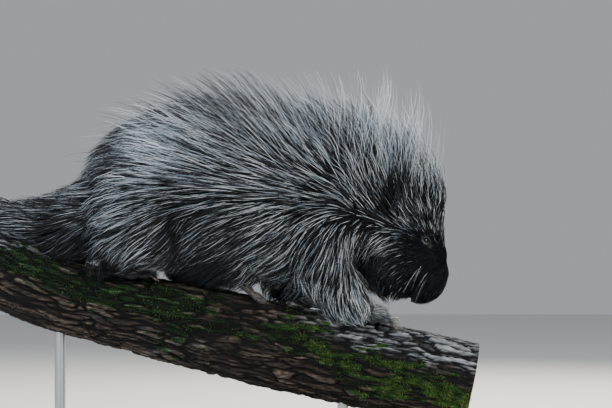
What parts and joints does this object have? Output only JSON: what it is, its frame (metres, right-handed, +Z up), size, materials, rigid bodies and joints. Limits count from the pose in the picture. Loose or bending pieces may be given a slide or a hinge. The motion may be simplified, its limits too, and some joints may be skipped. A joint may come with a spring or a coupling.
{
  "type": "porcupine model",
  "caption": "Still, life-size model of a porcupine walking down a mossy bough that two short rods hold over a flat base.",
  "frame": {"origin": "centre of the underside of the stand's base, on the floor", "axes": "+X towards the animal's head and down the bough, +Y to the animal's left, +Z up"},
  "size_m": [0.7949, 0.2894, 0.6102],
  "materials": {
    "coat": "long coarse black-brown fur with pale grey hair tips",
    "ear_skin": "thin skin with short black fur",
    "eye": "wet dark brown",
    "paw_skin": "short black fur, bare pebbled soles and horn claws",
    "bark": "rough ridged bark with green moss and sawn ends",
    "stand_plate": "painted satin grey-white",
    "stand_rods": "brushed"
  },
  "bodies": {
    "root": {"tail": "coat", "torso": "coat", "head": "coat", "ear_left": "ear_skin", "ear_right": "ear_skin", "eye_left": "eye", "eye_right": "eye", "foreleg_left": "coat", "foreleg_right": "coat", "forepaw_left": "paw_skin", "forepaw_right": "paw_skin", "hindpaw_left": "paw_skin", "hindpaw_right": "paw_skin", "perch_bough": "bark", "stand_base": "stand_plate", "stand_rod_rear": "stand_rods", "stand_rod_front": "stand_rods"}
  },
  "joints": []
}
